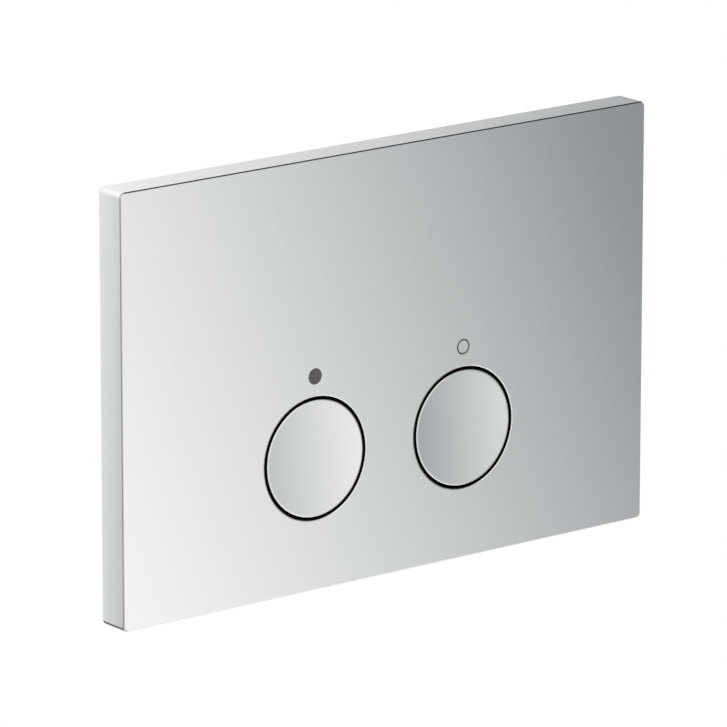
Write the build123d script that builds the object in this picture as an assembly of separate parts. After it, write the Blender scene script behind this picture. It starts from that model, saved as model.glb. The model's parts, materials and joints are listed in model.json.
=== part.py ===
from build123d import *
import math
import os

# Wall flush plate for a concealed cistern: a chrome cover with two round push buttons
# that drive rods through the wall, clipped onto a frame that two bolts hold.
# Millimetres. Each piece is drawn lying on its back, with X to the right, Y up the wall
# and Z out of the wall. stand_up turns it so that Z is up and the room lies towards -Y.

# Face plate, a cast tray with a thin front wall and a rim
PLATE_WIDTH = 246.0
PLATE_HEIGHT = 164.0
PLATE_DEPTH = 13.0
PLATE_CORNER_R = 2.2
PLATE_EDGE_ROUND = 0.7
FRONT_WALL = 2.2
RIM_WALL = 2.0
POCKET_CORNER_R = 1.0
PLATE_RIB_THICKNESS = 1.2
PLATE_RIB_HEIGHT = 2.0
SIDE_RIB_OFFSET = 6.0
LOWER_RIB_OFFSET = 3.7

# Buttons, dished caps set flush in round holes
BUTTON_RADIUS = 22.3
BUTTON_RING_GAP = 1.3
BUTTON_SPACING = 70.0
BUTTON_RISE = 50.7  # centre above the plate's lower edge
BUTTON_TRAVEL = 6.0
BUTTON_DISH = 0.22
BUTTON_EDGE_BREAK = 0.15
HOLE_EDGE_BREAK = 0.15
CAP_FRONT_WALL = 1.85
CAP_SKIRT_WALL = 1.6
CAP_BEAD_REACH = 0.5
CAP_BEAD_LENGTH = 0.6
CAP_LIP = 0.1
CLIP_GAP = 0.05  # between a cap and the plunger flange that it snaps over

# Plunger, a flange on a stem whose slotted end snaps through the carrier
FLANGE_THICKNESS = 2.4
STEM_RADIUS = 5.5
SPIGOT_HEIGHT = 1.2
SPIGOT_GAP = 0.3  # round the spigot, to the spring
STEM_BARB_REACH = 1.1
STEM_BARB_LENGTH = 1.9
STEM_BARB_GAP = 0.1  # at rest, to the cup floor that stops the barbs
STEM_SLIT_WIDTH = 1.6
STEM_SLIT_LENGTH = 11.0
GUIDE_GAP = 0.2  # round the stem, to its guide sleeve

# Carrier, a moulding with a light-tight collar and a spring cup for each button
CARRIER_THICKNESS = 2.4
CARRIER_SIDE_MARGIN = 5.55
CARRIER_EDGE_MARGIN = 1.55
CARRIER_CORNER_R = 8.0
COLLAR_SETBACK = 0.25
COLLAR_WALL = 1.6
COLLAR_GAP = 0.2  # in front of a collar, to the plate's front wall
CUP_DEPTH = 11.5
CUP_WALL = 1.8
CUP_FLOOR = 2.0
SLEEVE_WALL = 1.8
SLEEVE_GAP = 0.55  # in front of a sleeve, to the pressed plunger
GUSSET_THICKNESS = 1.6
GUSSET_REACH = 6.5
GUSSET_DEPTH = 7.0
GUSSET_COUNT = 4

# Return spring and rubber stop ring
SPRING_WIRE = 1.2
WIRE_SIDES = 6  # the wire is drawn with flats, and rounded only in appearance
SPRING_TURNS = 4.5
SPRING_GAP = 0.8  # from the wire to the sleeve inside it and to the cup round it
SPRING_SEAT_GAP = 0.02
DAMPER_THICKNESS = 1.2
DAMPER_WIDTH = 3.0
DAMPER_SIDE_GAP = 1.1
STOP_GAP = 0.05  # between the damper and the flange at full travel

# Push rod and its lock nut
ROD_RADIUS = 3.0
ROD_GAP = 0.1
ROD_INSET = 18.0  # how far the rod reaches into the stem
ROD_PROJECTION = 44.0  # how far it stands out of the stem
ROD_TIP_CHAMFER = 1.0
NUT_FLATS = 10.0
NUT_HEIGHT = 5.0
NUT_CHAMFER = 0.6

# Carrier screws and the bosses that take them
SCREW_RADIUS = 1.3
SCREW_LENGTH = 8.0
SCREW_HEAD_RADIUS = 2.8
SCREW_HEAD_HEIGHT = 2.0
SCREW_HEAD_CHAMFER = 0.8
SCREW_THREAD_GAP = 0.05
SCREW_HOLE_GAP = 0.3
SCREW_TIP_GAP = 0.8
BOSS_RADIUS = 3.0
BOSS_SIDE_INSET = 6.0
BOSS_EDGE_INSET = 5.0

# Mounting frame, a channel section open to the wall
FRAME_GAP = 3.0  # round the frame, to the plate's rim
FRAME_WALL = 2.0
FRAME_WEB = 2.2
FRAME_CORNER_R = 4.0
FRAME_RIB_THICKNESS = 1.6
FRAME_RIB_PITCH = 28.0
FRAME_TOP_RAIL = 15.0
WINDOW_MARGIN = 4.0
WINDOW_CORNER_R = 6.0
PAD_GAP = 0.3  # from the plate's locating pads to the frame
PAD_WIDTH = 3.0
PAD_SETBACK = 1.0

# Snap tongues on the frame and the plate's lugs that they catch
TONGUE_WIDTH = 12.0
TONGUE_INSET = 43.0
TONGUE_SLIT = 1.5
TONGUE_RELIEF = 1.8
TONGUE_ROOT = 1.2
TONGUE_RISE = 0.7
TONGUE_BARB_LENGTH = 2.1
TONGUE_BARB_LAND = 0.6
SNAP_BITE = 0.5
SNAP_GAP = 0.1
LUG_REACH = 1.3
LUG_THICKNESS = 1.2
LUG_WIDTH = 14.0

# Fixing bolts and washers
BOLT_RADIUS = 4.0
BOLT_REACH = 28.0  # threaded length behind the wall plane
BOLT_TIP_CHAMFER = 0.8
BOLT_UNDERCUT = 0.4
BOLT_HEAD_RADIUS = 8.0
BOLT_HEAD_HEIGHT = 3.0
BOLT_HEAD_CHAMFER = 0.6
BOLT_SOCKET_FLATS = 5.0
BOLT_SOCKET_DEPTH = 2.0
BOLT_HEAD_GAP = 1.1  # in front of a bolt head, to the plate
SLOT_GAP = 0.3
SLOT_LENGTH = 14.0
SLOT_WALL = 3.5
WASHER_RADIUS = 10.0
WASHER_THICKNESS = 1.2
WASHER_GAP = 0.2

# Heights above the wall, from the front face inwards
plate_inside = PLATE_DEPTH - FRONT_WALL
flange_front = PLATE_DEPTH - CAP_FRONT_WALL
flange_back = flange_front - FLANGE_THICKNESS
bead_front = flange_back - CLIP_GAP
bead_back = bead_front - CAP_BEAD_LENGTH
cap_back = bead_back - CAP_LIP
damper_front = flange_back - BUTTON_TRAVEL - STOP_GAP
carrier_front = damper_front - DAMPER_THICKNESS
carrier_back = carrier_front - CARRIER_THICKNESS
collar_front = plate_inside - COLLAR_GAP
spigot_back = flange_back - SPIGOT_HEIGHT
sleeve_front = spigot_back - BUTTON_TRAVEL - SLEEVE_GAP
cup_floor_front = carrier_front - CUP_DEPTH
cup_back = cup_floor_front - CUP_FLOOR
barb_front = cup_back - STEM_BARB_GAP
stem_end = barb_front - STEM_BARB_LENGTH
nut_back = stem_end - NUT_HEIGHT
rod_front = stem_end + ROD_INSET
rod_back = stem_end - ROD_PROJECTION
washer_front = plate_inside - BOLT_HEAD_GAP - BOLT_HEAD_HEIGHT
frame_front = washer_front - WASHER_THICKNESS
tongue_front = frame_front + TONGUE_RISE
tongue_barb_back = tongue_front - TONGUE_BARB_LENGTH
lug_front = tongue_barb_back - SNAP_GAP

# Radii of the nested round pieces, from the rod outwards and from the button inwards
stem_bore_radius = ROD_RADIUS + ROD_GAP
guide_radius = STEM_RADIUS + GUIDE_GAP
sleeve_radius = guide_radius + SLEEVE_WALL
spring_inner_radius = sleeve_radius + SPRING_GAP
spring_radius = spring_inner_radius + SPRING_WIRE / 2
cup_inner_radius = spring_inner_radius + SPRING_WIRE + SPRING_GAP
cup_outer_radius = cup_inner_radius + CUP_WALL
skirt_inner_radius = BUTTON_RADIUS - CAP_SKIRT_WALL
bead_radius = skirt_inner_radius - CAP_BEAD_REACH
flange_radius = skirt_inner_radius - CLIP_GAP
damper_outer_radius = bead_radius - DAMPER_SIDE_GAP
damper_inner_radius = damper_outer_radius - DAMPER_WIDTH
hole_radius = BUTTON_RADIUS + BUTTON_RING_GAP
collar_inner_radius = hole_radius + COLLAR_SETBACK
collar_outer_radius = collar_inner_radius + COLLAR_WALL
slot_radius = BOLT_RADIUS + SLOT_GAP

# Places on the plate's face, from its centre
pocket_width = PLATE_WIDTH - 2 * RIM_WALL
pocket_height = PLATE_HEIGHT - 2 * RIM_WALL
frame_width = pocket_width - 2 * FRAME_GAP
frame_height = pocket_height - 2 * FRAME_GAP
button_y = BUTTON_RISE - PLATE_HEIGHT / 2
full_x = -BUTTON_SPACING / 2
part_x = BUTTON_SPACING / 2
carrier_width = BUTTON_SPACING + 2 * (collar_outer_radius + CARRIER_SIDE_MARGIN)
carrier_height = 2 * (collar_outer_radius + CARRIER_EDGE_MARGIN)
carrier_bottom = button_y - carrier_height / 2
carrier_top = button_y + carrier_height / 2
window_width = carrier_width + 2 * WINDOW_MARGIN
window_bottom = carrier_bottom - WINDOW_MARGIN
window_top = frame_height / 2 - FRAME_TOP_RAIL
window_height = window_top - window_bottom
bolt_x = (window_width + frame_width) / 4  # the middle of a side rail
tongue_x = frame_width / 2 - TONGUE_INSET
screw_dx = carrier_width / 2 - BOSS_SIDE_INSET
screw_dy = carrier_height / 2 - BOSS_EDGE_INSET
screw_places = [(x, button_y + dy) for x in (-screw_dx, 0, screw_dx) for dy in (-screw_dy, screw_dy)]


def post(radius, low, high, x=0.0, y=0.0):
    """A round post or bore from height low to height high."""
    return Pos(x, y, (low + high) / 2) * Cylinder(radius, high - low)


def tube(outer, inner, low, high, x=0.0, y=0.0):
    return post(outer, low, high, x, y) - post(inner, low, high, x, y)


def block(x_range, y_range, z_range):
    """A box between two corners, given as its range on each axis."""
    ranges = (x_range, y_range, z_range)
    middle = [(low + high) / 2 for low, high in ranges]
    return Pos(*middle) * Box(*[high - low for low, high in ranges])


def slab(outline, low, high):
    """A flat outline extruded from height low to height high."""
    return Pos(0, 0, low) * extrude(outline, high - low)


def turned(*corners):
    """A solid of revolution from the corners of its half section, as radius and height."""
    return revolve(Plane.XZ * make_face(Polyline(*corners, close=True)), Axis.Z)


def catch_sides():
    """Each snap catch's centre along X, and its side of the plate, up or down."""
    return [(x, side) for x in (-tongue_x, tongue_x) for side in (-1, 1)]


def face_plate():
    outline = RectangleRounded(PLATE_WIDTH, PLATE_HEIGHT, PLATE_CORNER_R)
    plate = slab(outline, 0, PLATE_DEPTH)
    plate = fillet(plate.faces().sort_by(Axis.Z)[-1].edges(), PLATE_EDGE_ROUND)
    plate -= slab(RectangleRounded(pocket_width, pocket_height, POCKET_CORNER_R), 0, plate_inside)
    for x in (full_x, part_x):
        plate -= post(hole_radius, 0, PLATE_DEPTH, x, button_y)
    rims = plate.faces().sort_by(Axis.Z)[-1].edges().filter_by(GeomType.CIRCLE)
    plate = chamfer(rims.filter_by(lambda edge: edge.radius > PLATE_CORNER_R), HOLE_EDGE_BREAK)
    return plate + plate_ribs() + screw_bosses() + locating_pads() + catch_lugs()


def plate_ribs():
    """Low stiffening ribs on the back of the front wall, between the rims."""
    heights = (plate_inside - PLATE_RIB_HEIGHT, plate_inside)
    half = PLATE_RIB_THICKNESS / 2
    side_x = carrier_width / 2 + SIDE_RIB_OFFSET
    upper_y = (carrier_top + PLATE_HEIGHT / 2) / 2
    lower_y = carrier_bottom - LOWER_RIB_OFFSET
    ribs = []
    for x in (-side_x, 0, side_x):
        ribs.append(block((x - half, x + half), (-pocket_height / 2, pocket_height / 2), heights))
    for y in (lower_y, upper_y):
        ribs.append(block((-pocket_width / 2, pocket_width / 2), (y - half, y + half), heights))
    return Part() + ribs


def screw_bosses():
    bore_end = carrier_back + SCREW_LENGTH + SCREW_TIP_GAP
    bore = SCREW_RADIUS + SCREW_THREAD_GAP
    bosses = []
    for x, y in screw_places:
        solid = post(BOSS_RADIUS, carrier_front, plate_inside, x, y)
        bosses.append(solid - post(bore, carrier_front, bore_end, x, y))
    return Part() + bosses


def locating_pads():
    """Pads on the rim that centre the plate on its frame."""
    heights = (PAD_SETBACK, plate_inside)
    reach = FRAME_GAP - PAD_GAP
    half = PAD_WIDTH / 2
    along_x = tongue_x / 2
    along_y = frame_height / 4
    pads = []
    for side in (-1, 1):
        x_range = sorted((side * pocket_width / 2, side * (pocket_width / 2 - reach)))
        y_range = sorted((side * pocket_height / 2, side * (pocket_height / 2 - reach)))
        for place in (-along_x, along_x):
            pads.append(block((place - half, place + half), y_range, heights))
        for place in (-along_y, along_y):
            pads.append(block(x_range, (place - half, place + half), heights))
    return Part() + pads


def catch_lugs():
    """Lugs on the upper and lower rims that the frame's tongues hook over."""
    lugs = []
    for x, side in catch_sides():
        y_range = sorted((side * pocket_height / 2, side * (pocket_height / 2 - LUG_REACH)))
        x_range = (x - LUG_WIDTH / 2, x + LUG_WIDTH / 2)
        lugs.append(block(x_range, y_range, (lug_front - LUG_THICKNESS, lug_front)))
    return Part() + lugs


def button_cap(x):
    """A cap with a dished front and a bead inside its skirt that snaps over the flange."""
    rim = BUTTON_RADIUS - BUTTON_EDGE_BREAK
    cap = turned(
        (0, flange_front),
        (0, PLATE_DEPTH),
        (rim, PLATE_DEPTH),
        (BUTTON_RADIUS, PLATE_DEPTH - BUTTON_EDGE_BREAK),
        (BUTTON_RADIUS, cap_back),
        (skirt_inner_radius, cap_back),
        (bead_radius, bead_back),
        (bead_radius, bead_front),
        (skirt_inner_radius, bead_front),
        (skirt_inner_radius, flange_front),
    )
    dish_radius = (rim**2 + BUTTON_DISH**2) / (2 * BUTTON_DISH)
    ball = Pos(0, 0, PLATE_DEPTH - BUTTON_DISH + dish_radius) * Rot(0, 90, 0) * Sphere(dish_radius)
    return Pos(x, button_y) * (cap - ball)


def plunger(x):
    """A flange and a bored stem, with spring fingers cut into the barbed end."""
    barb_radius = STEM_RADIUS + STEM_BARB_REACH
    spigot_radius = spring_inner_radius - SPIGOT_GAP
    body = turned(
        (0, flange_front),
        (flange_radius, flange_front),
        (flange_radius, flange_back),
        (spigot_radius, flange_back),
        (spigot_radius, spigot_back),
        (STEM_RADIUS, spigot_back),
        (STEM_RADIUS, barb_front),
        (barb_radius, barb_front),
        (STEM_RADIUS, stem_end),
        (stem_bore_radius, stem_end),
        (stem_bore_radius, rod_front),
        (0, rod_front),
    )
    half = STEM_SLIT_WIDTH / 2
    slit_heights = (stem_end, stem_end + STEM_SLIT_LENGTH)
    for x_half, y_half in ((barb_radius, half), (half, barb_radius)):
        body -= block((-x_half, x_half), (-y_half, y_half), slit_heights)
    return Pos(x, button_y) * body


def return_spring(x):
    """A coil whose ends are ground flat between the cup floor and the flange."""
    low = cup_floor_front + SPRING_SEAT_GAP
    high = flange_back - SPRING_SEAT_GAP
    start = low + SPRING_WIRE / 4
    rise = high - low - SPRING_WIRE / 2
    path = Helix(rise / SPRING_TURNS, rise, spring_radius, center=(0, 0, start))
    wire = RegularPolygon(SPRING_WIRE / 2, WIRE_SIDES, major_radius=False)
    section = Plane(path @ 0, x_dir=(1, 0, 0), z_dir=path % 0) * wire
    coil = sweep(section, path, is_frenet=True) & post(cup_inner_radius, low, high)
    return Pos(x, button_y) * coil


def damper(x):
    return tube(damper_outer_radius, damper_inner_radius, carrier_front, damper_front, x, button_y)


def push_rod(x):
    """A rod with a chamfered tip, set into the plunger's stem."""
    rod = turned(
        (0, rod_back),
        (0, rod_front),
        (ROD_RADIUS, rod_front),
        (ROD_RADIUS, rod_back + ROD_TIP_CHAMFER),
        (ROD_RADIUS - ROD_TIP_CHAMFER, rod_back),
    )
    return Pos(x, button_y) * rod


def lock_nut(x):
    """A hexagon nut with both ends' corners turned off."""
    corner_radius = NUT_FLATS / math.sqrt(3)
    hexagon = slab(RegularPolygon(NUT_FLATS / 2, 6, major_radius=False), nut_back, stem_end)
    turned_blank = turned(
        (0, nut_back),
        (corner_radius - NUT_CHAMFER, nut_back),
        (corner_radius, nut_back + NUT_CHAMFER),
        (corner_radius, stem_end - NUT_CHAMFER),
        (corner_radius - NUT_CHAMFER, stem_end),
        (0, stem_end),
    )
    nut = hexagon & turned_blank
    return Pos(x, button_y) * (nut - post(stem_bore_radius, nut_back, stem_end))


def button_carrier():
    outline = RectangleRounded(carrier_width, carrier_height, CARRIER_CORNER_R)
    carrier = Pos(0, button_y) * slab(outline, carrier_back, carrier_front)
    for x in (full_x, part_x):
        carrier += tube(collar_outer_radius, collar_inner_radius, carrier_front, collar_front, x, button_y)
        carrier += post(cup_outer_radius, cup_back, carrier_front, x, button_y)
        carrier += Pos(x, button_y) * gussets()
        carrier -= post(cup_inner_radius, cup_floor_front, carrier_front, x, button_y)
        carrier += post(sleeve_radius, cup_floor_front, sleeve_front, x, button_y)
        carrier -= post(guide_radius, cup_back, sleeve_front, x, button_y)
    for x, y in screw_places:
        carrier -= post(SCREW_RADIUS + SCREW_HOLE_GAP, carrier_back, carrier_front, x, y)
    return carrier


def gussets():
    """Triangular webs between a spring cup and the back of the carrier."""
    root = cup_inner_radius + CUP_WALL / 2
    tip = cup_outer_radius + GUSSET_REACH
    corners = ((root, carrier_back), (tip, carrier_back), (root, carrier_back - GUSSET_DEPTH))
    web = Plane.XZ * make_face(Polyline(*corners, close=True))
    gusset = extrude(web, GUSSET_THICKNESS / 2, both=True)
    step = 360 / GUSSET_COUNT
    return Part() + [Rot(0, 0, step * (k + 0.5)) * gusset for k in range(GUSSET_COUNT)]


def carrier_screws():
    """Identical pan-head screws, driven from behind through the carrier into the bosses."""
    head_back = carrier_back - SCREW_HEAD_HEIGHT
    tip = carrier_back + SCREW_LENGTH
    screw = turned(
        (0, head_back),
        (0, tip),
        (SCREW_RADIUS, tip - SCREW_RADIUS),
        (SCREW_RADIUS, carrier_back),
        (SCREW_HEAD_RADIUS, carrier_back),
        (SCREW_HEAD_RADIUS, head_back + SCREW_HEAD_CHAMFER),
        (SCREW_HEAD_RADIUS - SCREW_HEAD_CHAMFER, head_back),
    )
    return Compound([Pos(x, y) * screw.solid() for x, y in screw_places])


def mounting_frame():
    outer = RectangleRounded(frame_width, frame_height, FRAME_CORNER_R)
    inner_edge = RectangleRounded(
        frame_width - 2 * FRAME_WALL, frame_height - 2 * FRAME_WALL, FRAME_CORNER_R - FRAME_WALL
    )
    window_place = Pos(0, (window_top + window_bottom) / 2)
    window = window_place * RectangleRounded(window_width, window_height, WINDOW_CORNER_R)
    window_edge = window_place * RectangleRounded(
        window_width + 2 * FRAME_WALL, window_height + 2 * FRAME_WALL, WINDOW_CORNER_R + FRAME_WALL
    )
    ring = slab(outer - window, 0, frame_front)
    frame = slab(outer - window, frame_front - FRAME_WEB, frame_front)
    frame += slab(outer - inner_edge, 0, frame_front)
    frame += slab(window_edge - window, 0, frame_front)
    frame += ring & frame_ribs()
    for x in (-bolt_x, bolt_x):
        boss = SlotOverall(SLOT_LENGTH + 2 * SLOT_WALL, 2 * (slot_radius + SLOT_WALL), rotation=90)
        slot = SlotOverall(SLOT_LENGTH, 2 * slot_radius, rotation=90)
        frame += slab(Pos(x, 0) * boss, 0, frame_front)
        frame -= slab(Pos(x, 0) * slot, 0, frame_front)
    for x, side in catch_sides():
        frame -= tongue_slits(x, side)
        frame += tongue_barb(x, side)
    return frame


def frame_ribs():
    """Cross ribs through the frame's channel, cut to its rails by the caller."""
    half = FRAME_RIB_THICKNESS / 2
    heights = (0, frame_front)
    ribs = []
    for x in (-tongue_x / 2, 0, tongue_x / 2):
        ribs.append(block((x - half, x + half), (-frame_height / 2, frame_height / 2), heights))
    for step in (-2, -1, 1, 2):
        y = step * FRAME_RIB_PITCH
        ribs.append(block((-frame_width / 2, frame_width / 2), (y - half, y + half), heights))
    return Part() + ribs


def tongue_slits(x, side):
    """The slits that free a tongue from the frame's outer wall, on three of its sides."""
    wall_outside = frame_height / 2
    wall_inside = wall_outside - FRAME_WALL
    half = TONGUE_WIDTH / 2
    heights = (TONGUE_ROOT, frame_front)
    relief = sorted((side * (wall_inside - TONGUE_RELIEF), side * wall_inside))
    wall = sorted((side * wall_inside, side * wall_outside))
    slits = block((x - half - TONGUE_SLIT, x + half + TONGUE_SLIT), relief, heights)
    slits += block((x - half - TONGUE_SLIT, x - half), wall, heights)
    slits += block((x + half, x + half + TONGUE_SLIT), wall, heights)
    return slits


def tongue_barb(x, side):
    """The hooked tip of a tongue, with a sloping lead-in towards the room."""
    wall_outside = frame_height / 2
    wall_inside = wall_outside - FRAME_WALL
    tip = wall_outside + FRAME_GAP - LUG_REACH + SNAP_BITE
    profile = Polyline(
        (wall_inside, tongue_barb_back),
        (tip, tongue_barb_back),
        (tip, tongue_barb_back + TONGUE_BARB_LAND),
        (wall_outside, tongue_front),
        (wall_inside, tongue_front),
        close=True,
    )
    barb = extrude(Plane.YZ * make_face(profile), TONGUE_WIDTH / 2, both=True)
    placed = Pos(x, 0) * barb
    return placed if side > 0 else mirror(placed, about=Plane.XZ)


def fixing_bolt(x):
    """A bolt with a socket head, a plain neck in the slot and its thread behind the wall."""
    neck_radius = BOLT_RADIUS - BOLT_UNDERCUT
    head_front = washer_front + BOLT_HEAD_HEIGHT
    bolt = turned(
        (0, head_front),
        (BOLT_HEAD_RADIUS - BOLT_HEAD_CHAMFER, head_front),
        (BOLT_HEAD_RADIUS, head_front - BOLT_HEAD_CHAMFER),
        (BOLT_HEAD_RADIUS, washer_front),
        (neck_radius, washer_front),
        (neck_radius, 0),
        (BOLT_RADIUS, 0),
        (BOLT_RADIUS, BOLT_TIP_CHAMFER - BOLT_REACH),
        (BOLT_RADIUS - BOLT_TIP_CHAMFER, -BOLT_REACH),
        (0, -BOLT_REACH),
    )
    socket = RegularPolygon(BOLT_SOCKET_FLATS / 2, 6, major_radius=False)
    bolt -= slab(socket, head_front - BOLT_SOCKET_DEPTH, head_front)
    return Pos(x, 0) * bolt


def fixing_washer(x):
    return tube(WASHER_RADIUS, BOLT_RADIUS + WASHER_GAP, frame_front, washer_front, x)


def stand_up(piece):
    """Turn a piece that was drawn on its back to hang on the wall."""
    return Plane.XZ * piece


pieces = {
    "face_plate": face_plate(),
    "button_carrier": button_carrier(),
    "carrier_screws": carrier_screws(),
    "mounting_frame": mounting_frame(),
}
for name, x in (("full_flush", full_x), ("part_flush", part_x)):
    pieces[name + "_button"] = button_cap(x)
    pieces[name + "_plunger"] = plunger(x)
    pieces[name + "_spring"] = return_spring(x)
    pieces[name + "_damper"] = damper(x)
    pieces[name + "_push_rod"] = push_rod(x)
    pieces[name + "_lock_nut"] = lock_nut(x)
for name, x in (("left_fixing", -bolt_x), ("right_fixing", bolt_x)):
    pieces[name + "_bolt"] = fixing_bolt(x)
    pieces[name + "_washer"] = fixing_washer(x)

os.makedirs("parts", exist_ok=True)
for name, piece in pieces.items():
    export_step(stand_up(piece), f"parts/{name}.step")
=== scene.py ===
import json
import math

import bmesh
import bpy
from mathutils import Matrix, Vector

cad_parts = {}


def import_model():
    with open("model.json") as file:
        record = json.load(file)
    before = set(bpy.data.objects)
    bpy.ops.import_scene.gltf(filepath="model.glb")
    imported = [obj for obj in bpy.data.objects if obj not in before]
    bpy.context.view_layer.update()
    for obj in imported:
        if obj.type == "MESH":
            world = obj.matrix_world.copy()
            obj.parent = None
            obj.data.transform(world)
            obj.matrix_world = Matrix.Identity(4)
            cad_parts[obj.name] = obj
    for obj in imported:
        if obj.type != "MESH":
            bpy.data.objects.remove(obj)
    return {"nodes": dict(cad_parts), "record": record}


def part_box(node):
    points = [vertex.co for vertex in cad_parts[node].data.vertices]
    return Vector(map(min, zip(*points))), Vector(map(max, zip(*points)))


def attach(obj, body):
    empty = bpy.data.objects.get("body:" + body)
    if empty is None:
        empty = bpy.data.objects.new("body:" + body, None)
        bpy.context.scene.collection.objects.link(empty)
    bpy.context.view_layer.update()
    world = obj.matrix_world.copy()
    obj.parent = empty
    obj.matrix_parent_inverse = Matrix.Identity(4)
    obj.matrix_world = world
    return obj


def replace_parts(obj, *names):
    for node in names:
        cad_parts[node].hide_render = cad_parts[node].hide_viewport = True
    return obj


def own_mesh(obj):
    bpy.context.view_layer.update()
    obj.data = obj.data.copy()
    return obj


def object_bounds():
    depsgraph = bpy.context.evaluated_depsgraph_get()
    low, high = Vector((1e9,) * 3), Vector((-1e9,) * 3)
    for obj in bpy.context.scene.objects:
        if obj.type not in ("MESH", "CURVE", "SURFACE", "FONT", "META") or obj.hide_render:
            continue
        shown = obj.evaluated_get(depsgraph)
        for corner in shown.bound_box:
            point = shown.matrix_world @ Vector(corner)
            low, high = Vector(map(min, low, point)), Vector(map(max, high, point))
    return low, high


# Looks of a wall flush plate: a polished chrome cover, two dished chrome buttons with a
# printed mark over each, and the sprung mechanism and mounting frame behind them.
# Metres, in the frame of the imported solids: X right, Y into the wall, Z up.

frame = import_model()
cad_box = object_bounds()
scene = bpy.context.scene
nodes = frame["nodes"]
MM = 0.001
WALL = 0.0  # y of the wall's surface

# The record's body and material slot of each solid
groups = frame["record"]["behaviour"]["bodies"]
bodies = {node: body for body, members in groups.items() for node in members}
slots = {part["node"]: part["material_slot"] for part in frame["record"]["subparts"]}

# How meshes are cleaned and shaded
WELD_DISTANCE = 0.0005 * MM
SHARP_ANGLE = math.radians(40)
FLAT_ANGLE = math.radians(0.5)
HARD_ANGLE = math.radians(35)

# Face plate
EDGE_ROUND = 0.48 * MM
BACK_EDGE_ROUND = 0.2 * MM
SIDE_CROWN = 0.04 * MM  # how far the middle of each side stands proud of its edges
CORNER_RADIUS = 2.2 * MM
CORNER_STEPS = 14
EDGE_STEPS = 8
SIDE_STEPS = 8
HOLE_EDGE_ROUND = 0.15 * MM
FRONT_WALL_LIMIT = 3.0 * MM  # more than the front wall, and less than the tray's depth
MOUTH_BAND = 1.0 * MM  # open edges this close to the back belong to the tray's mouth
TRAY_SLACK = 0.01 * MM

# The polished roll-off beside each button gap, on the plate and on the cap
ROLL_WIDTH = 0.28 * MM
ROLL_DROP = 0.018 * MM
ROLL_STEPS = 3

# Button caps
DISH_DEPTH = 0.175 * MM
CAP_EDGE_ROUND = 0.15 * MM
CAP_ROOF = 1.85 * MM
CAP_SKIRT = 1.6 * MM
CAP_LIP = 0.1 * MM
BEAD_REACH = 0.5 * MM
BEAD_LENGTH = 0.6 * MM
CAP_SEGMENTS = 160
DISH_RINGS = 26

# Printed marks over the buttons
DOT_MARK_RADIUS = 3.1 * MM
RING_MARK_RADIUS = 3.03 * MM
RING_LINE = 0.66 * MM
MARK_HEIGHT = 0.0  # z of their centres
MARK_THICKNESS = 0.03 * MM
MARK_SEGMENTS = 72

# Return springs
SPRING_WIRE = 1.2 * MM
SPRING_TURNS = 4.5
SPRING_STEPS = 64  # along one turn
WIRE_SIDES = 14

# Threaded pieces: push rods, fixing bolts and carrier screws
ROWS_PER_PITCH = 10
FLANK_SLOPE = 1.6
CREST_WIDTH = 0.3
ROD_PITCH = 1.5 * MM
ROD_THREAD_DEPTH = 0.4 * MM
ROD_PLAIN_TIP = 9.0 * MM
ROD_TIP_CHAMFER = 1.0 * MM
ROD_SEGMENTS = 32
BOLT_RADIUS = 4.0 * MM
BOLT_NECK = 3.6 * MM
BOLT_PITCH = 1.25 * MM
BOLT_THREAD_DEPTH = 0.6 * MM
BOLT_TIP_CHAMFER = 0.8 * MM
BOLT_HEAD_HEIGHT = 3.0 * MM
BOLT_HEAD_ROUND = 0.6 * MM
SOCKET_SIDES = 6
SOCKET_FLATS = 5.0 * MM
SOCKET_DEPTH = 2.0 * MM
SOCKET_LEAD_IN = 0.2 * MM
BOLT_SEGMENTS = 48
SCREW_RADIUS = 1.3 * MM
SCREW_PITCH = 1.0 * MM
SCREW_THREAD_DEPTH = 0.3 * MM
SCREW_HEAD_RADIUS = 2.8 * MM
SCREW_HEAD_HEIGHT = 2.0 * MM
SCREW_HEAD_ROUND = 0.8 * MM
CROSS_REACH = 1.45 * MM
CROSS_HALF_WIDTH = 0.36 * MM
CROSS_DEPTH = 1.1 * MM
CROSS_TAPER = 0.55
SCREW_SEGMENTS = 28

# Edge rounding of the moulded and turned pieces
MOULDED_ROUND = 0.25 * MM
SMALL_ROUND = 0.15 * MM
ROUND_SEGMENTS = 2
CIRCULAR = 0.5  # the bevel profile of a round

# Finishes
CHROME_LEVEL = 0.86  # plain level of the chrome, which the studio's levels are set against
CHROME_HAZE = 0.006  # how far the haze lifts and lowers that level
PLASTIC_DARK = 0.9  # shares of a plastic's colour between which its tone varies
PLASTIC_LIGHT = 1.06
PLASTIC_SMOOTHER = 0.06  # how far its roughness varies down and up
PLASTIC_ROUGHER = 0.08
GRAIN_DEPTH = 0.05 * MM
CAST_SKIN_DEPTH = 0.04 * MM
DRAWN_GRAIN_DEPTH = 0.02 * MM
DRAWN_STRETCH = (1, 0.15, 1)  # steel's grain runs along Y

# Sockets of Blender's mix node, where several share a name
MIX_FACTOR, MIX_FIRST, MIX_SECOND = 0, 6, 7
MIX_RESULT = 2


# Meshes


def finish_mesh(name, bm):
    """Turns a bmesh into a linked object, with hard edges kept hard."""
    bmesh.ops.recalc_face_normals(bm, faces=bm.faces)
    for edge in bm.edges:
        if len(edge.link_faces) == 2 and edge.calc_face_angle() > SHARP_ANGLE:
            edge.smooth = False
    mesh = bpy.data.meshes.new(name)
    bm.to_mesh(mesh)
    bm.free()
    piece = bpy.data.objects.new(name, mesh)
    scene.collection.objects.link(piece)
    return piece


def dress(piece, node):
    """Gives a piece the body of the solid that it stands for and the finish of that solid's slot,
    and hides the solid.
    """
    piece.data.materials.append(finishes[slots[node]])
    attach(piece, bodies[node])
    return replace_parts(piece, node)


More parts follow.
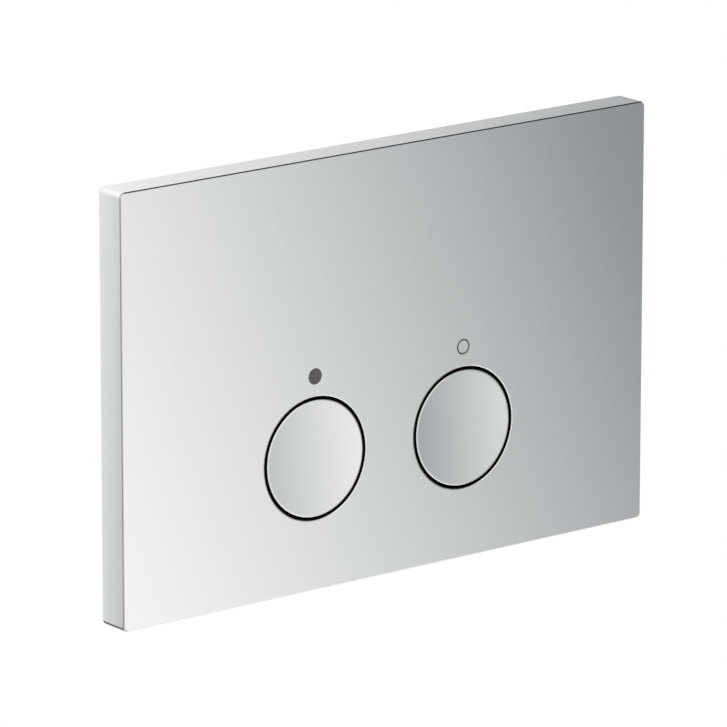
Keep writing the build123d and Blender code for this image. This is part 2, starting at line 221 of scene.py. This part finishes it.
def middle(node):
    """A solid's box, and the x and z of the line along Y through its middle."""
    low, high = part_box(node)
    return low, high, ((low.x + high.x) / 2, (low.z + high.z) / 2)


def bridge(bm, first, second, smooth=True):
    """Quads between two closed rings with the same count of vertices."""
    count = len(first)
    for k in range(count):
        after = (k + 1) % count
        face = bm.faces.new((first[k], first[after], second[after], second[k]))
        face.smooth = smooth


def ring_edges(bm, ring):
    """The edges of a closed ring of vertices, made where they are missing."""
    edges = []
    for k, vert in enumerate(ring):
        after = ring[(k + 1) % len(ring)]
        edges.append(bm.edges.get((vert, after)) or bm.edges.new((vert, after)))
    return edges


def fill(bm, *rings):
    """A flat face between an outer ring and the rings of its holes."""
    edges = [edge for ring in rings for edge in ring_edges(bm, ring)]
    made = bmesh.ops.triangle_fill(bm, use_beauty=True, use_dissolve=False, edges=edges)
    for item in made["geom"]:
        if isinstance(item, bmesh.types.BMFace):
            item.smooth = False


def circle(bm, centre, radius, y, angles):
    """A ring of vertices about a line along Y, its radius a number or a function of the angle."""
    made = []
    for angle in angles:
        reach = radius(angle) if callable(radius) else radius
        x = centre[0] + reach * math.cos(angle)
        z = centre[1] + reach * math.sin(angle)
        made.append(bm.verts.new((x, y, z)))
    return made


def full_turn(count):
    """Evenly spaced angles round a full turn."""
    return [2 * math.pi * k / count for k in range(count)]


def lathe(bm, centre, profile, segments):
    """A turned surface about a line along Y, from points of radius and y, closed at radius 0."""
    angles = full_turn(segments)
    rows = []
    for radius, y in profile:
        if radius == 0:
            rows.append([bm.verts.new((centre[0], y, centre[1]))])
        else:
            rows.append(circle(bm, centre, radius, y, angles))
    for first, second in zip(rows, rows[1:]):
        if len(first) == len(second):
            bridge(bm, first, second)
            continue
        pole, ring = (first, second) if len(first) == 1 else (second, first)
        for k in range(segments):
            face = bm.faces.new((pole[0], ring[k], ring[(k + 1) % segments]))
            face.smooth = True
    return rows


def quarter_round(radius, steps=EDGE_STEPS):
    """Offsets along a quarter round, from its start at (0, 0) to (radius, radius)."""
    offsets = []
    for k in range(steps + 1):
        turn = math.pi / 2 * k / steps
        offsets.append((radius * (1 - math.cos(turn)), radius * math.sin(turn)))
    return offsets


def soften(bm, width):
    """Rounds the hard edges of a mesh off by a small width."""
    bmesh.ops.dissolve_limit(bm, angle_limit=FLAT_ANGLE, verts=bm.verts, edges=bm.edges)
    hard = [e for e in bm.edges if e.is_manifold and e.calc_face_angle() > HARD_ANGLE]
    bmesh.ops.bevel(
        bm, geom=hard, offset=width, offset_type="OFFSET", segments=ROUND_SEGMENTS,
        profile=CIRCULAR, affect="EDGES", clamp_overlap=False, material=-1,
    )
    for face in bm.faces:
        face.smooth = True


def even_shading(piece):
    """Keeps large flat faces flat beside their rounded edges."""
    piece.modifiers.new("even_shading", "WEIGHTED_NORMAL").keep_sharp = True


def softened(node, width):
    """A moulded or turned solid with its hard edges rounded off a little."""
    bm = bmesh.new()
    bm.from_mesh(nodes[node].data)
    bmesh.ops.remove_doubles(bm, verts=bm.verts, dist=WELD_DISTANCE)
    soften(bm, width)
    piece = finish_mesh(node + "_soft", bm)
    even_shading(piece)
    dress(piece, node)


# The face plate


plate_low, plate_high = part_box("face_plate")
plate_back, plate_front = plate_high.y, plate_low.y


def outline_ring(bm, inset, y):
    """A ring round the plate, set in from its outline by inset, with round corners."""
    half_x = plate_high.x - inset
    half_z = plate_high.z - inset
    radius = CORNER_RADIUS - inset
    ring = []
    for quarter, (sx, sz) in enumerate(((1, 1), (-1, 1), (-1, -1), (1, -1))):
        for k in range(CORNER_STEPS + 1):
            angle = math.pi / 2 * (quarter + k / CORNER_STEPS)
            x = sx * (half_x - radius) + radius * math.cos(angle)
            z = sz * (half_z - radius) + radius * math.sin(angle)
            ring.append(bm.verts.new((x, y, z)))
    return ring


def plate_skin_profile():
    """Inset and y of each ring round the plate, from its back edge over the side to the front."""
    side_back = plate_back - BACK_EDGE_ROUND
    side_front = plate_front + EDGE_ROUND
    rows = []
    for across, along in quarter_round(BACK_EDGE_ROUND, EDGE_STEPS // 2)[:-1]:
        rows.append((SIDE_CROWN + BACK_EDGE_ROUND - along, plate_back - across))
    for k in range(SIDE_STEPS + 1):
        share = k / SIDE_STEPS
        inset = SIDE_CROWN * (2 * share - 1) ** 2
        rows.append((inset, side_back + share * (side_front - side_back)))
    for across, along in quarter_round(EDGE_ROUND)[1:]:
        rows.append((SIDE_CROWN + across, side_front - along))
    return rows


def sorted_ring(verts, centre):
    """Vertices in order of their angle about a line along Y through centre."""
    return sorted(verts, key=lambda v: math.atan2(v.co.z - centre[1], v.co.x - centre[0]))


def tray_inside(bm):
    """How far the tray's inside reaches along X and Z, and the y of its front wall's back."""
    wall_back = max(v.co.y for v in bm.verts if v.co.y < plate_front + FRONT_WALL_LIMIT)
    spots = [v.co for v in bm.verts if abs(v.co.y - wall_back) < TRAY_SLACK]
    reach_x = max(abs(spot.x) for spot in spots)
    reach_z = max(abs(spot.z) for spot in spots)
    return reach_x + TRAY_SLACK, reach_z + TRAY_SLACK, wall_back - TRAY_SLACK


def roll_off(radius, y, drop):
    """Radius and y of each step of the roll-off that starts at a radius and a y."""
    shares = [k / ROLL_STEPS for k in range(1, ROLL_STEPS + 1)]
    return [(radius + share * ROLL_WIDTH, y + share * drop) for share in shares]


def hole_edge(bm, inner, centre):
    """A button hole's wall, rounded edge and roll-off, from the ring at its back."""
    radius = sum((v.co.xz - Vector(centre)).length for v in inner) / len(inner)
    angles = [math.atan2(v.co.z - centre[1], v.co.x - centre[0]) for v in inner]
    edge_front = plate_front + ROLL_DROP
    profile = []
    for across, along in quarter_round(HOLE_EDGE_ROUND):
        profile.append((across, edge_front + HOLE_EDGE_ROUND - along))
    profile += roll_off(HOLE_EDGE_ROUND, edge_front, -ROLL_DROP)
    ring = inner
    for across, y in profile:
        after = circle(bm, centre, radius + across, y, angles)
        bridge(bm, ring, after)
        ring = after
    return ring


def face_plate(inside_material):
    """A crowned and rounded skin, joined to the ribbed inside of the plate's own tray."""
    bm = bmesh.new()
    bm.from_mesh(nodes["face_plate"].data)
    bmesh.ops.remove_doubles(bm, verts=bm.verts, dist=WELD_DISTANCE)
    reach_x, reach_z, wall_back = tray_inside(bm)
    outside = []
    for face in bm.faces:
        place = face.calc_center_median()
        if abs(place.x) >= reach_x or abs(place.z) >= reach_z or place.y < wall_back:
            outside.append(face)
        face.material_index = 1
    bmesh.ops.delete(bm, geom=outside, context="FACES")
    open_verts = {v for e in bm.edges if e.is_boundary for v in e.verts}
    mouth = [v for v in open_verts if abs(v.co.y - plate_back) < MOUTH_BAND]
    hole_rings = []
    for name in ("full_flush_button", "part_flush_button"):
        centre = middle(name)[2]
        side = [v for v in open_verts if v not in mouth and v.co.x * centre[0] > 0]
        hole_rings.append(hole_edge(bm, sorted_ring(side, centre), centre))
    rings = [outline_ring(bm, inset, y) for inset, y in plate_skin_profile()]
    for first, second in zip(rings, rings[1:]):
        bridge(bm, first, second)
    fill(bm, rings[0], sorted_ring(mouth, (0, 0)))
    fill(bm, rings[-1], *hole_rings)
    piece = dress(finish_mesh("plate_cover", bm), "face_plate")
    piece.data.materials.append(inside_material)
    even_shading(piece)


# The buttons and their marks


def button_cap(node):
    """A cap with a dished front, a rounded edge, and a hollow skirt with a snap bead."""
    low, high, centre = middle(node)
    radius, front, back = (high.x - low.x) / 2, low.y, high.y
    rim = radius - CAP_EDGE_ROUND - ROLL_WIDTH
    dish_radius = (rim**2 + DISH_DEPTH**2) / (2 * DISH_DEPTH)
    profile = []
    for k in range(DISH_RINGS + 1):
        r = rim * k / DISH_RINGS
        depth = DISH_DEPTH - (dish_radius - math.sqrt(dish_radius**2 - r**2))
        profile.append((r, front + depth))
    profile += roll_off(rim, front, ROLL_DROP)
    for across, along in quarter_round(CAP_EDGE_ROUND)[::-1][1:]:
        profile.append((radius - across, front + ROLL_DROP + CAP_EDGE_ROUND - along))
    skirt = radius - CAP_SKIRT
    bead_back = back - CAP_LIP
    profile += [
        (radius, bead_back),
        (radius - CAP_LIP, back),
        (skirt, back),
        (skirt - BEAD_REACH, bead_back),
        (skirt - BEAD_REACH, bead_back - BEAD_LENGTH),
        (skirt, bead_back - BEAD_LENGTH),
        (skirt, front + CAP_ROOF),
        (0, front + CAP_ROOF),
    ]
    bm = bmesh.new()
    lathe(bm, centre, profile, CAP_SEGMENTS)
    even_shading(dress(finish_mesh(node + "_cap", bm), node))


def mark(name, button, outer, inner, material):
    """A thin printed spot, or a ring where it has an inner radius, on the plate over a button."""
    centre = (middle(button)[2][0], MARK_HEIGHT)
    under = plate_front + MARK_THICKNESS
    top = plate_front - MARK_THICKNESS
    profile = [(outer, under), (outer, plate_front), (outer - MARK_THICKNESS, top)]
    if inner:
        profile += [(inner + MARK_THICKNESS, top), (inner, plate_front)]
        profile += [(inner, under), (outer, under)]
    else:
        profile = [(0, under)] + profile + [(0, top)]
    bm = bmesh.new()
    lathe(bm, centre, profile, MARK_SEGMENTS)
    bmesh.ops.remove_doubles(bm, verts=bm.verts, dist=WELD_DISTANCE)
    piece = finish_mesh(name, bm)
    piece.data.materials.append(material)
    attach(piece, "plate")


# Springs and threaded pieces


def return_spring(node):
    """A spring of round wire with its ends ground flat, on a mesh of its own."""
    low, high, centre = middle(node)
    radius = (high.x - low.x) / 2 - SPRING_WIRE / math.sqrt(3)
    start = high.y - SPRING_WIRE / 4
    rise = high.y - low.y - SPRING_WIRE / 2
    slope = rise / SPRING_TURNS / (2 * math.pi)
    count = round(SPRING_TURNS * SPRING_STEPS)
    bm = bmesh.new()
    rings = []
    for k in range(count + 1):
        angle = 2 * math.pi * SPRING_TURNS * k / count
        outward = Vector((math.cos(angle), 0, math.sin(angle)))
        ahead = Vector((-radius * outward.z, -slope, radius * outward.x)).normalized()
        across = ahead.cross(outward)
        core = Vector((centre[0], start - slope * angle, centre[1])) + radius * outward
        ring = []
        for turn in full_turn(WIRE_SIDES):
            spot = core + SPRING_WIRE / 2 * (math.cos(turn) * outward + math.sin(turn) * across)
            spot.y = min(max(spot.y, low.y), high.y)
            ring.append(bm.verts.new(spot))
        rings.append(ring)
    for first, second in zip(rings, rings[1:]):
        bridge(bm, first, second)
    bm.faces.new(rings[0])
    bm.faces.new(rings[-1])
    piece = dress(finish_mesh(node + "_coil", bm), node)
    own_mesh(piece)


def thread_rows(start, end, outer, depth, pitch):
    """Rows of a right-hand thread from start to end along Y, with its grooves run out at both."""
    count = round(abs(end - start) / pitch * ROWS_PER_PITCH)
    rows = []
    for k in range(count + 1):
        y = start + (end - start) * k / count
        run_out = min(abs(y - start), abs(end - y), pitch) / pitch

        def radius(angle, y=y, cut=depth * run_out):
            phase = (y / pitch + angle / (2 * math.pi)) % 1
            groove = min(max(FLANK_SLOPE * abs(2 * phase - 1) - CREST_WIDTH, 0), 1)
            return outer - cut * groove

        rows.append((radius, y))
    return rows


def push_rod(node):
    """A rod threaded along its length, with a plain chamfered tip."""
    low, high, centre = middle(node)
    radius = (high.x - low.x) / 2
    shoulder = high.y - ROD_TIP_CHAMFER
    profile = [(0, low.y)]
    profile += thread_rows(low.y, high.y - ROD_PLAIN_TIP, radius, ROD_THREAD_DEPTH, ROD_PITCH)
    profile += [(radius, shoulder), (radius - ROD_TIP_CHAMFER, high.y), (0, high.y)]
    bm = bmesh.new()
    lathe(bm, centre, profile, ROD_SEGMENTS)
    dress(finish_mesh(node + "_thread", bm), node)


def recess(bm, rim, mouth, floor):
    """A driving recess in a flat head: the face round its mouth, its walls and its floor."""
    fill(bm, rim, mouth[0])
    for first, second in zip(mouth, mouth[1:] + [floor]):
        bridge(bm, first, second, smooth=False)
    bm.faces.new(floor)


def fixing_bolt(node):
    """A bolt with a low round head, a hexagon socket, a plain neck and a thread."""
    low, high, centre = middle(node)
    head = (high.x - low.x) / 2
    under = low.y + BOLT_HEAD_HEIGHT
    shoulder = high.y - BOLT_TIP_CHAMFER
    neck_end = WALL + BOLT_RADIUS - BOLT_NECK
    profile = []
    for across, along in quarter_round(BOLT_HEAD_ROUND)[::-1]:
        profile.append((head - across, low.y + BOLT_HEAD_ROUND - along))
    profile += [(head, under - SMALL_ROUND), (head - SMALL_ROUND, under)]
    profile += [(BOLT_NECK, under), (BOLT_NECK, WALL)]
    profile += thread_rows(neck_end, shoulder, BOLT_RADIUS, BOLT_THREAD_DEPTH, BOLT_PITCH)
    profile += [(BOLT_RADIUS - BOLT_TIP_CHAMFER, high.y), (0, high.y)]
    bm = bmesh.new()
    rows = lathe(bm, centre, profile, BOLT_SEGMENTS)
    corner = SOCKET_FLATS / math.sqrt(3)
    turns = full_turn(SOCKET_SIDES)
    wide = circle(bm, centre, corner + SOCKET_LEAD_IN, low.y, turns)
    lead = circle(bm, centre, corner, low.y + SOCKET_LEAD_IN, turns)
    deep = circle(bm, centre, corner, low.y + SOCKET_DEPTH, turns)
    recess(bm, rows[0], [wide, lead], deep)
    dress(finish_mesh(node + "_thread", bm), node)


def cross_ring(bm, centre, scale, y):
    """The outline of a cross recess."""
    reach, half = scale * CROSS_REACH, scale * CROSS_HALF_WIDTH
    corner = ((reach, -half), (reach, half), (half, half))
    spots = []
    for quarter in range(4):
        turn = Matrix.Rotation(math.pi / 2 * quarter, 2)
        spots += [turn @ Vector(spot) for spot in corner]
    return [bm.verts.new((centre[0] + s.x, y, centre[1] + s.y)) for s in spots]


def screw(bm, centre, tip, back):
    """A pan-head screw with a cross recess, its head at the back."""
    under = back - SCREW_HEAD_HEIGHT
    point = tip + SCREW_RADIUS
    neck = under - SCREW_PITCH
    profile = [(0, tip), (SCREW_RADIUS / 2, tip)]
    profile += thread_rows(point, neck, SCREW_RADIUS, SCREW_THREAD_DEPTH, SCREW_PITCH)
    profile += [(SCREW_RADIUS, under), (SCREW_HEAD_RADIUS, under)]
    for across, along in quarter_round(SCREW_HEAD_ROUND):
        profile.append((SCREW_HEAD_RADIUS - across, back - SCREW_HEAD_ROUND + along))
    rows = lathe(bm, centre, profile, SCREW_SEGMENTS)
    mouth = cross_ring(bm, centre, 1.0, back)
    floor = cross_ring(bm, centre, CROSS_TAPER, back - CROSS_DEPTH)
    recess(bm, rows[-1], [mouth], floor)


def carrier_screws():
    """The six screws that hold the button carrier to the plate."""
    low, high, centre = middle("carrier_screws")
    bm = bmesh.new()
    for x in (low.x + SCREW_HEAD_RADIUS, centre[0], high.x - SCREW_HEAD_RADIUS):
        for z in (low.z + SCREW_HEAD_RADIUS, high.z - SCREW_HEAD_RADIUS):
            screw(bm, (x, z), low.y, high.y)
    dress(finish_mesh("carrier_screws_cross", bm), "carrier_screws")


# Materials


def add(tree, kind, inputs=None, **settings):
    """A new node, with its inputs set to values or linked to other nodes' outputs."""
    made = tree.nodes.new(kind)
    for key, value in settings.items():
        setattr(made, key, value)
    for key, value in (inputs or {}).items():
        if isinstance(value, bpy.types.NodeSocket):
            tree.links.new(value, made.inputs[key])
        else:
            made.inputs[key].default_value = value
    return made


def new_material(name):
    """A material with an empty node tree."""
    material = bpy.data.materials.new(name)
    material.use_nodes = True
    material.node_tree.nodes.clear()
    return material


def grey(level):
    """An opaque grey."""
    return (level, level, level, 1.0)


def noise(tree, scale, detail=3.0, stretch=(1, 1, 1)):
    """Noise in the object's own coordinates, at scale to the metre."""
    place = add(tree, "ShaderNodeTexCoord").outputs["Object"]
    mapped = add(tree, "ShaderNodeMapping", {"Vector": place, "Scale": stretch}).outputs[0]
    inputs = {"Vector": mapped, "Scale": scale, "Detail": detail}
    return add(tree, "ShaderNodeTexNoise", inputs).outputs["Fac"]


def between(tree, factor, low, high):
    """A factor mapped onto a range of values."""
    inputs = {"Value": factor, "To Min": low, "To Max": high}
    return add(tree, "ShaderNodeMapRange", inputs).outputs["Result"]


def mix_colour(tree, factor, first, second):
    """A colour between two, by a factor."""
    inputs = {MIX_FACTOR: factor, MIX_FIRST: first, MIX_SECOND: second}
    return add(tree, "ShaderNodeMix", inputs, data_type="RGBA").outputs[MIX_RESULT]


def surface(material, inputs):
    """Closes a material with one principled surface."""
    tree = material.node_tree
    shader = add(tree, "ShaderNodeBsdfPrincipled", inputs)
    add(tree, "ShaderNodeOutputMaterial", {"Surface": shader.outputs[0]})
    return material


def bump(tree, height, strength, distance):
    """A normal tilted by a height."""
    inputs = {"Height": height, "Strength": strength, "Distance": distance}
    return add(tree, "ShaderNodeBump", inputs).outputs[0]


def chrome():
    """Polished chrome: nearly even, with faint polishing haze in its gloss."""
    material = new_material("chrome_polished")
    tree = material.node_tree
    haze = noise(tree, scale=60.0)
    low, high = CHROME_LEVEL - CHROME_HAZE, CHROME_LEVEL + CHROME_HAZE
    return surface(material, {
        "Base Color": mix_colour(tree, haze, grey(low), grey(high)),
        "Metallic": 1.0,
        "Roughness": between(tree, haze, low=0.015, high=0.035),
    })


def cast_chrome():
    """The thin, unpolished plating on the inside of the cast plate."""
    material = new_material("chrome_unpolished")
    tree = material.node_tree
    cloud = noise(tree, scale=45.0)
    skin = noise(tree, scale=900.0, detail=5.0)
    return surface(material, {
        "Base Color": mix_colour(tree, cloud, (0.42, 0.42, 0.41, 1), (0.56, 0.56, 0.56, 1)),
        "Metallic": 1.0,
        "Roughness": between(tree, skin, low=0.34, high=0.52),
        "Normal": bump(tree, skin, strength=0.25, distance=CAST_SKIN_DEPTH),
    })


def plastic(name, colour, roughness, grain):
    """Moulded plastic with a fine grain and slight differences of tone."""
    material = new_material(name)
    tree = material.node_tree
    cloud = noise(tree, scale=90.0)
    texture = noise(tree, scale=2200.0, detail=5.0)
    dark = tuple(PLASTIC_DARK * c for c in colour) + (1.0,)
    light = tuple(min(1.0, PLASTIC_LIGHT * c) for c in colour) + (1.0,)
    low, high = roughness - PLASTIC_SMOOTHER, roughness + PLASTIC_ROUGHER
    return surface(material, {
        "Base Color": mix_colour(tree, cloud, dark, light),
        "Roughness": between(tree, texture, low, high),
        "Normal": bump(tree, texture, strength=grain, distance=GRAIN_DEPTH),
    })


def steel():
    """Zinc-plated steel with a soft drawn grain."""
    material = new_material("steel_plated")
    tree = material.node_tree
    grain = noise(tree, scale=900.0, detail=4.0, stretch=DRAWN_STRETCH)
    cloud = noise(tree, scale=120.0)
    return surface(material, {
        "Base Color": mix_colour(tree, cloud, (0.52, 0.53, 0.54, 1), (0.62, 0.61, 0.58, 1)),
        "Metallic": 1.0,
        "Roughness": between(tree, grain, low=0.24, high=0.42),
        "Normal": bump(tree, grain, strength=0.15, distance=DRAWN_GRAIN_DEPTH),
    })


# Studio


CAMERA_PLACE = Vector((-1.5293, -1.9403, 0.6491))
CAMERA_YAW = math.radians(38.205)
CAMERA_PITCH = math.radians(14.797)
CAMERA_ROLL = math.radians(0.034)
CAMERA_LENS = 340.0
SENSOR_WIDTH = 36.0
CAMERA_REACH = 100.0
FLOOR_DROP = 1.6
FLOOR_SIZE = 30.0
FLOOR_LEVEL = 0.8
LIGHT_SIZE = 1.2
LIGHT_POWER = 18
KEY_LIGHT_PLACE = (-1.2, -1.6, 1.8)
BACK_LIGHT_PLACE = (1.2, 1.8, 1.4)


def camera():
    """A long lens at the photograph's viewing angle."""
    ahead = Vector((
        math.sin(CAMERA_YAW) * math.cos(CAMERA_PITCH),
        math.cos(CAMERA_YAW) * math.cos(CAMERA_PITCH),
        -math.sin(CAMERA_PITCH),
    ))
    level = Vector((math.cos(CAMERA_YAW), -math.sin(CAMERA_YAW), 0))
    upward = level.cross(ahead)
    right = math.cos(CAMERA_ROLL) * level + math.sin(CAMERA_ROLL) * upward
    above = -math.sin(CAMERA_ROLL) * level + math.cos(CAMERA_ROLL) * upward
    data = bpy.data.cameras.new("camera")
    data.lens = CAMERA_LENS
    data.sensor_width = SENSOR_WIDTH
    data.clip_end = CAMERA_REACH
    made = bpy.data.objects.new("camera", data)
    turn = Matrix((right, above, -ahead)).transposed()
    made.matrix_world = Matrix.Translation(CAMERA_PLACE) @ turn.to_4x4()
    scene.collection.objects.link(made)
    scene.camera = made


# Levels of the studio as the chrome shows them, each along a line through the object:
# what the front face mirrors, what the left side mirrors, and what the top edge mirrors
FRONT_LINE = (0.787, 0.505, 0.356)
FRONT_LEVELS = (
    (-1.00, (0.42, 0.43, 0.44)),
    (-0.78, (0.66, 0.67, 0.67)),
    (-0.62, (0.54, 0.55, 0.56)),
    (-0.48, (0.68, 0.69, 0.69)),
    (-0.36, (0.52, 0.53, 0.54)),
    (-0.22, (0.56, 0.57, 0.57)),
    (-0.11, (0.82, 0.83, 0.83)),
    (-0.07, (0.92, 0.92, 0.92)),
    (-0.048, (0.885, 0.885, 0.885)),
    (-0.025, (0.738, 0.756, 0.752)),
    (0.002, (0.545, 0.570, 0.575)),
    (0.028, (0.367, 0.387, 0.403)),
    (0.042, (0.276, 0.293, 0.305)),
    (0.09, (0.21, 0.22, 0.23)),
    (0.21, (0.16, 0.17, 0.18)),
    (0.40, (0.50, 0.51, 0.52)),
    (0.60, (0.40, 0.40, 0.40)),
    (1.00, (0.50, 0.50, 0.50)),
)
LEFT_LINE = (0.79, 0.50, 0.60)
LEFT_LEVELS = (
    (-1.00, (0.55, 0.56, 0.56)),
    (-0.50, (0.24, 0.25, 0.25)),
    (-0.30, (0.41, 0.43, 0.42)),
    (-0.21, (0.64, 0.668, 0.66)),
    (-0.17, (0.745, 0.76, 0.755)),
    (-0.05, (0.80, 0.80, 0.80)),
    (0.24, (0.95, 0.95, 0.95)),
    (1.00, (0.95, 0.95, 0.95)),
)
TOP_LINE = (0.792, -0.585, -0.172)
TOP_LEVELS = (
    (-1.00, (0.55, 0.55, 0.55)),
    (-0.45, (0.62, 0.62, 0.62)),
    (-0.30, (0.78, 0.78, 0.78)),
    (-0.17, (0.82, 0.82, 0.82)),
    (-0.09, (0.92, 0.92, 0.92)),
    (-0.047, (0.80, 0.80, 0.80)),
    (-0.034, (0.725, 0.73, 0.73)),
    (0.0035, (0.54, 0.555, 0.555)),
    (0.026, (0.415, 0.43, 0.44)),
    (0.10, (0.33, 0.34, 0.35)),
    (0.30, (0.50, 0.50, 0.50)),
    (1.00, (0.75, 0.75, 0.75)),
)
LEFT_TO_TOP = ("X", 0.15, 0.35)
FRONT_TO_BEHIND = ("Y", -0.15, 0.15)
DIFFUSE_LEVEL = 0.7

# Cards and flags over those levels, laid on in this order. Each has a grey level and fades:
# an axis, with the places along it where the card starts and where it is full. A card lies
# where all its fades do, and where a fade gives two choices, where one of them does
CARDS = {
    "high_card": (0.6, ("Z", 0.64, 0.74)),
    "left_flag": (
        0.12,
        ("X", -0.72, -0.85),
        ("Y", 0.45, 0.25),
        ("Y", -0.60, -0.45),
        ("Z", 0.15, 0.0),
        (("Y", -0.04, -0.10), ("Y", 0.04, 0.10)),
    ),
    "top_flag": (0.03, ("Z", 0.28, 0.40), ("Y", 0.58, 0.45), ("X", 0.20, 0.40)),
    "end_flag": (
        0.03,
        ("X", 0.598, 0.634),
        ("X", 0.66, 0.64),
        ("Y", 0.0, -0.2),
        ("Z", 0.04, 0.16),
    ),
    "over_flag": (
        0.06,
        ("Z", 0.50, 0.65),
        ("Y", 0.58, 0.45),
        ("Y", -0.50, -0.38),
        (("X", 0.10, -0.10), ("Z", 0.90, 0.95)),
    ),
    "low_flag": (
        0.16,
        ("Z", -0.36, -0.50),
        ("Y", 0.45, 0.60),
        ("X", 0.50, 0.30),
        ("X", -0.42, -0.30),
    ),
    "low_card": (0.95, ("Z", -0.40, -0.50), ("X", 0.40, 0.54)),
    "back_card": (0.5, ("Y", 0.85, 0.94)),
}


def world():
    """White to the camera, cards and flags to the chrome, and an even level to the rest."""
    studio = bpy.data.worlds.new("studio")
    studio.use_nodes = True
    scene.world = studio
    tree = studio.node_tree
    tree.nodes.clear()
    direction = add(tree, "ShaderNodeTexCoord").outputs["Generated"]
    part = add(tree, "ShaderNodeSeparateXYZ", {"Vector": direction}).outputs

    def levels(line, stops):
        """Colours along a line from -1 to 1."""
        dot = add(tree, "ShaderNodeVectorMath", {0: direction, 1: line}, operation="DOT_PRODUCT")
        inputs = {"Value": dot.outputs["Value"], "From Min": -1.0, "From Max": 1.0}
        place = add(tree, "ShaderNodeMapRange", inputs).outputs["Result"]
        ramp = add(tree, "ShaderNodeValToRGB", {"Fac": place})
        elements = ramp.color_ramp.elements
        while len(elements) < len(stops):
            elements.new(0.5)
        for element, (position, _) in zip(elements, stops):
            element.position = (position + 1) / 2
        for element, (_, colour) in zip(elements, stops):
            element.color = tuple(c / CHROME_LEVEL for c in colour) + (1.0,)
        return ramp.outputs["Color"]

    def fade(axis, start, end):
        """0 before start and 1 after end along an axis, smoothly."""
        inputs = {"Value": part[axis], "From Min": start, "From Max": end}
        smooth = add(tree, "ShaderNodeMapRange", inputs, interpolation_type="SMOOTHSTEP")
        return smooth.outputs["Result"]

    def joined(operation, first, second):
        """Two masks in one."""
        return add(tree, "ShaderNodeMath", {0: first, 1: second}, operation=operation).outputs[0]

    def mask(fades):
        """1 where all the fades are full."""
        product = None
        for item in fades:
            if isinstance(item[0], str):
                made = fade(*item)
            else:
                made = joined("MAXIMUM", *(fade(*choice) for choice in item))
            product = made if product is None else joined("MULTIPLY", product, made)
        return product

    front = levels(FRONT_LINE, FRONT_LEVELS)
    left = levels(LEFT_LINE, LEFT_LEVELS)
    top = levels(TOP_LINE, TOP_LEVELS)
    behind = mix_colour(tree, fade(*LEFT_TO_TOP), left, top)
    mirrored = mix_colour(tree, fade(*FRONT_TO_BEHIND), front, behind)
    for level, *fades in CARDS.values():
        mirrored = mix_colour(tree, mask(fades), mirrored, grey(level))
    rays = add(tree, "ShaderNodeLightPath").outputs
    seen = mix_colour(tree, rays["Is Glossy Ray"], grey(DIFFUSE_LEVEL), mirrored)
    seen = mix_colour(tree, rays["Is Camera Ray"], seen, grey(1.0))
    sky = add(tree, "ShaderNodeBackground", {"Color": seen, "Strength": 1.0})
    add(tree, "ShaderNodeOutputWorld", {"Surface": sky.outputs[0]})


def pale_floor():
    """A pale floor well below the plate, white to the camera."""
    bm = bmesh.new()
    half = FLOOR_SIZE / 2
    low = cad_box[0].z - FLOOR_DROP
    corners = ((-half, -half), (half, -half), (half, half), (-half, half))
    bm.faces.new([bm.verts.new((x, y, low)) for x, y in corners])
    piece = finish_mesh("floor", bm)
    material = new_material("floor_pale")
    tree = material.node_tree
    pale = add(tree, "ShaderNodeBsdfDiffuse", {"Color": grey(FLOOR_LEVEL)})
    white = add(tree, "ShaderNodeEmission", {"Color": grey(1.0), "Strength": 1.0})
    seen = add(tree, "ShaderNodeLightPath").outputs["Is Camera Ray"]
    mixed = add(tree, "ShaderNodeMixShader", {0: seen, 1: pale.outputs[0], 2: white.outputs[0]})
    add(tree, "ShaderNodeOutputMaterial", {"Surface": mixed.outputs[0]})
    piece.data.materials.append(material)
    piece.visible_glossy = False


def soft_light(name, place):
    """A square soft light aimed at the plate, not itself mirrored in the chrome."""
    data = bpy.data.lights.new(name, "AREA")
    data.size = LIGHT_SIZE
    data.energy = LIGHT_POWER
    made = bpy.data.objects.new(name, data)
    made.location = place
    made.rotation_mode = "QUATERNION"
    made.rotation_quaternion = (-Vector(place)).to_track_quat("-Z", "Y")
    made.visible_glossy = False
    scene.collection.objects.link(made)


finishes = {
    "chrome": chrome(),
    "black_plastic": plastic("black_moulded", (0.02, 0.02, 0.022), roughness=0.42, grain=0.25),
    "white_plastic": plastic("white_moulded", (0.82, 0.82, 0.79), roughness=0.34, grain=0.10),
    "grey_plastic": plastic("grey_moulded", (0.42, 0.44, 0.46), roughness=0.45, grain=0.25),
    "steel": steel(),
    "rubber": plastic("rubber_black", (0.03, 0.03, 0.03), roughness=0.75, grain=0.4),
}
print_ink = plastic("printed_grey", (0.105, 0.105, 0.11), roughness=0.45, grain=0.02)

face_plate(cast_chrome())
ring_inner = RING_MARK_RADIUS - RING_LINE
mark("full_flush_mark", "full_flush_button", DOT_MARK_RADIUS, 0.0, print_ink)
mark("part_flush_mark", "part_flush_button", RING_MARK_RADIUS, ring_inner, print_ink)
for button in ("full_flush", "part_flush"):
    button_cap(button + "_button")
    return_spring(button + "_spring")
    push_rod(button + "_push_rod")
    softened(button + "_plunger", SMALL_ROUND)
    softened(button + "_lock_nut", SMALL_ROUND)
    softened(button + "_damper", SMALL_ROUND)
for side in ("left", "right"):
    fixing_bolt(side + "_fixing_bolt")
    softened(side + "_fixing_washer", SMALL_ROUND)
carrier_screws()
softened("button_carrier", MOULDED_ROUND)
softened("mounting_frame", MOULDED_ROUND)

camera()
world()
pale_floor()
soft_light("key_light", KEY_LIGHT_PLACE)
soft_light("back_light", BACK_LIGHT_PLACE)

scene.view_settings.view_transform = "Standard"
